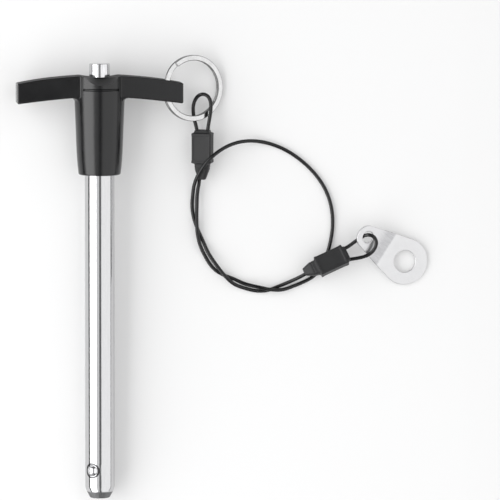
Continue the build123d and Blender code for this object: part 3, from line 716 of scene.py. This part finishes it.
# painted shade: the streaks darken more towards the fold
streaks_and_fold_shade = t.math("MULTIPLY", small, t.span(x, -17.5, -12.5, 0.15, 1.0, True))
tone = t.math("ADD", t.span(brush, 0.3, 0.75, 0.0, 0.35), t.math("MULTIPLY", streaks_and_fold_shade, t.span(streak, 0.3, 0.7, 0.3, 1.1)), clamp=True)
t.color(t.mix(tone, (0.66, 0.66, 0.665), (0.40, 0.40, 0.41)))
t.roughness(t.math("ADD", t.span(blotch, 0.3, 0.7, 0.34, 0.42), t.span(cross, 0.55, 0.8, 0.0, 0.08)))
t.normal(t.bump(brush, 0.15, 0.00003))


def assign(obj, sh):
    if obj.data.materials:
        for i in range(len(obj.data.materials)):
            obj.data.materials[i] = sh.mat
    else:
        obj.data.materials.append(sh.mat)


for name, sh in (("t_handle", h), ("shank", s), ("plunger_rod", rod_m), ("button", button_m),
                 ("return_spring", spring_m), ("lock_ball_upper", ball_m), ("lock_ball_lower", ball_m),
                 ("split_ring", r), ("lanyard_cable", c), ("crimp_ferrule_upper", ferrule_m),
                 ("crimp_ferrule_lower", ferrule_m), ("sleeve_cover_upper", p), ("sleeve_cover_lower", p),
                 ("anchor_tab", t)):
    assign(nodes[name], sh)
assign(cable, c)
assign(coil, spring_m)
assign(cover_upper, p)
assign(cover_lower, p)
assign(tab, t)

# ---- floor and light -----------------------------------------------------------
floor_mesh = bpy.data.meshes.new("floor")
bm = bmesh.new()
bmesh.ops.create_grid(bm, x_segments=8, y_segments=8, size=6.0)
bm.to_mesh(floor_mesh)
bm.free()
floor = link(bpy.data.objects.new("floor", floor_mesh))
floor.location = (0.05, 0.0, -0.00002)
f = Shader("floor_paper", (0.52, 0.52, 0.52), 0.0, 0.8, IOR=1.3, Emission_Strength=0.22)
f.bsdf.inputs["Emission Color"].default_value = (1, 1, 1, 1)
v = f.mapping(f.coords, scale=(1, 1, 1))
f.color(f.mix(f.noise(v, 2.0, 2.0), (0.515, 0.515, 0.515), (0.525, 0.525, 0.525)))
floor.data.materials.append(f.mat)
floor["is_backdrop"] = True

world = bpy.data.worlds.new("studio")
world.use_nodes = True
world.node_tree.nodes["Background"].inputs["Color"].default_value = (0.19, 0.19, 0.193, 1)
world.node_tree.nodes["Background"].inputs["Strength"].default_value = 1.0
bpy.context.scene.world = world


def softbox(name, angle, distance, width, length, radiance, shift_y=0.0):
    """A rectangular light to one side: angle from straight up, towards +X."""
    data = bpy.data.lights.new(name, "AREA")
    data.shape = "RECTANGLE"
    data.size, data.size_y = width, length
    data.energy = radiance * math.pi * width * length
    ob = link(bpy.data.objects.new(name, data))
    a = math.radians(angle)
    at = Vector((-0.0093, 0.0, 0.01))
    place = at + Vector((math.sin(a), 0, math.cos(a))) * distance + Vector((0, shift_y, 0))
    z = (place - at - Vector((0, shift_y, 0))).normalized()
    y = Vector((0, 1, 0))
    x = y.cross(z).normalized()
    y = z.cross(x)
    ob.matrix_world = Matrix.Translation(place) @ Matrix((x, y, z)).transposed().to_4x4()
    ob.visible_camera = False
    return ob


softbox("key_left", -59, 1.15, 1.17, 2.7, 3.9, -0.25)
softbox("edge_left", -20, 1.20, 0.46, 2.8, 0.8, -0.3)
softbox("fill_right", 47.5, 1.15, 1.964, 2.9, 1.2, -0.25)


def flag(name, x0, x1):
    """A black card beside the frame, which draws the dark edges of the bright metal."""
    me = bpy.data.meshes.new(name)
    me.from_pydata([(x0, -0.5, 0.0006), (x1, -0.5, 0.0006), (x1, 0.5, 0.0006), (x0, 0.5, 0.0006)], [], [(0, 1, 2, 3)])
    ob = link(bpy.data.objects.new(name, me))
    me.materials.append(flag_m.mat)
    ob.visible_camera = ob.visible_diffuse = ob.visible_shadow = False
    ob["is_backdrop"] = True


flag_m = Shader("flag_velvet", (0.004, 0.004, 0.004), 0.0, 0.9, IOR=1.05)
v = flag_m.mapping(flag_m.coords, scale=(1000, 1000, 1000))
flag_m.roughness(flag_m.span(flag_m.noise(v, 0.4), 0.3, 0.7, 0.85, 1.0))
flag("flag_left", -0.30, -0.062)
flag("flag_right", 0.150, 0.40)

bpy.context.scene.view_settings.view_transform = "Standard"

low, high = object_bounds()
